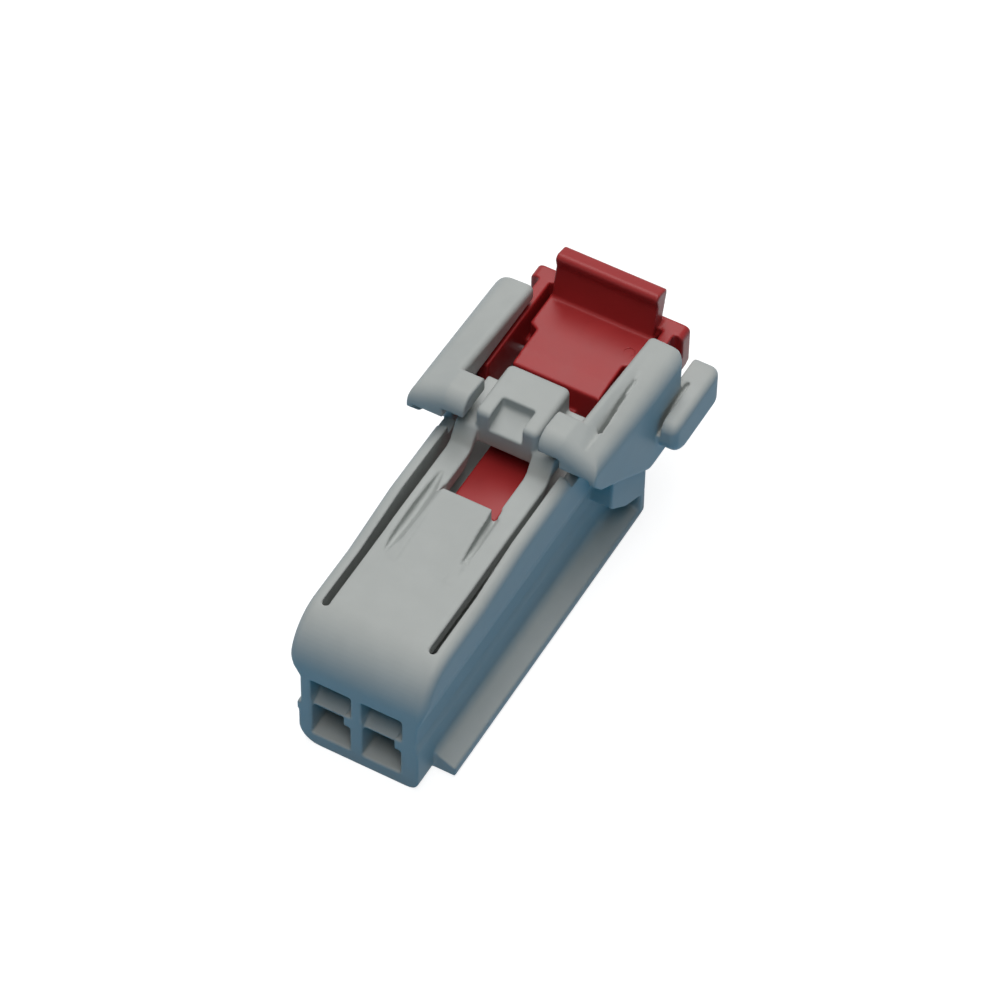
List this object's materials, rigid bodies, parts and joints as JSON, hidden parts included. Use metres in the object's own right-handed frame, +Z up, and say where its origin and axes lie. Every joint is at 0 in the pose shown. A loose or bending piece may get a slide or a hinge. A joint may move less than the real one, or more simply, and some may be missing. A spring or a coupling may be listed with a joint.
{
  "type": "wire harness connector housing",
  "caption": "Latched plug housing for wire terminals, with a keying side rail, guard arms around the latch and a sliding lock with an upright tab.",
  "frame": {"origin": "middle of the base of the bounding box", "axes": "+Y from the mating face to the wire end, +Z up through the latch, +X to the side with the keying rail"},
  "size_m": [0.0176, 0.0384, 0.017],
  "materials": {
    "grey_plastic": "satin moulded plastic, light grey",
    "red_plastic": "satin moulded plastic, red"
  },
  "bodies": {
    "housing": {"housing": "grey_plastic"},
    "slider": {"cpa_slider": "red_plastic"}
  },
  "joints": [
    {"name": "cpa_slide", "type": "slide", "parent": "housing", "child": "slider", "axis": [0, -1, 0], "range_m": [0, 0.002]}
  ]
}
